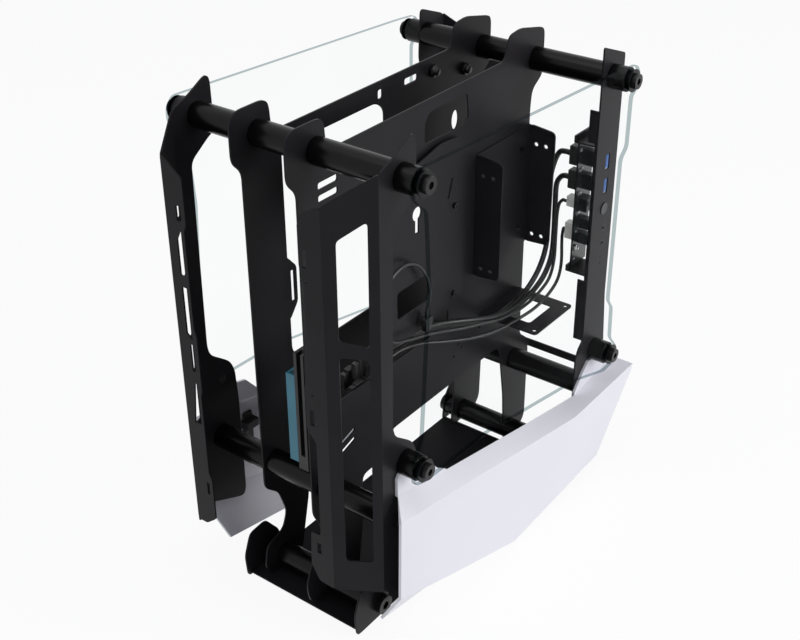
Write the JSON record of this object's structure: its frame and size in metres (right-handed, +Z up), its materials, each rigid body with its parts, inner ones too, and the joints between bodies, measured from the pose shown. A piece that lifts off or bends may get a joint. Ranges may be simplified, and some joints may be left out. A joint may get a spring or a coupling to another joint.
{
  "type": "computer case",
  "caption": "Open-frame desktop computer case of folded plates clamped on cross tubes, with side glass, lower covers and a port column.",
  "frame": {"origin": "on the floor below the middle of the cross tubes' length, near the case's middle from near to far", "axes": "+X along the cross tubes to the port side, +Y from the near edge to the far edge, +Z up"},
  "size_m": [0.242, 0.3834, 0.4388],
  "materials": {
    "powder_coat": "satin black powder coat",
    "dark_screw": "black oxide",
    "rod_steel": "satin",
    "rubber": "matte",
    "white_cover": "satin white",
    "clear_glass": "clear",
    "brass": "satin",
    "board": "black solder mask",
    "port_shell": "bright stamped steel",
    "button": "satin black",
    "blue_plastic": "blue port tongue",
    "white_plastic": "white lead header",
    "lead_jacket": "satin black jacket",
    "slot_plastic": "black",
    "teal_plastic": "teal"
  },
  "bodies": {
    "case": {"near_left_plate": "powder_coat", "near_right_plate": "powder_coat", "left_inner_plate": "powder_coat", "right_inner_plate": "powder_coat", "far_right_column": "powder_coat", "far_left_plate": "powder_coat", "top_near_tube": "powder_coat", "top_far_tube": "powder_coat", "mid_near_tube": "powder_coat", "mid_far_tube": "powder_coat", "base_near_tube": "powder_coat", "base_far_tube": "powder_coat", "near_stub_spacers": "powder_coat", "far_stub_spacers": "powder_coat", "end_collars": "powder_coat", "base_tray": "powder_coat", "fan_bracket": "powder_coat", "support_frame": "powder_coat", "drive_plate": "powder_coat", "rear_crossbar": "powder_coat", "port_bracket": "powder_coat", "tie_rods": "rod_steel", "end_screws": "dark_screw", "base_screws": "dark_screw", "bracket_screws": "dark_screw", "thumb_screws": "dark_screw", "rubber_feet": "rubber", "right_cover": "white_cover", "left_cover": "white_cover", "right_glass": "clear_glass", "left_glass": "clear_glass", "board_pillars": "brass", "port_board": "board", "port_blocks": "port_shell", "wide_port_a": "blue_plastic", "wide_port_b": "blue_plastic", "lead_headers": "white_plastic", "thick_lead_a": "lead_jacket", "thick_lead_b": "lead_jacket", "sound_lead": "lead_jacket", "panel_lead": "lead_jacket", "slot_strip": "slot_plastic", "lead_plugs": "slot_plastic", "slot_cover": "teal_plastic", "cover_catch": "slot_plastic"},
    "button": {"power_button": "button"}
  },
  "joints": [
    {"name": "button_press", "type": "slide", "parent": "case", "child": "button", "axis": [-1, 0, 0], "range_m": [0, 0.0012], "stiffness_N_per_m": 800, "springref_m": -0.0006}
  ]
}
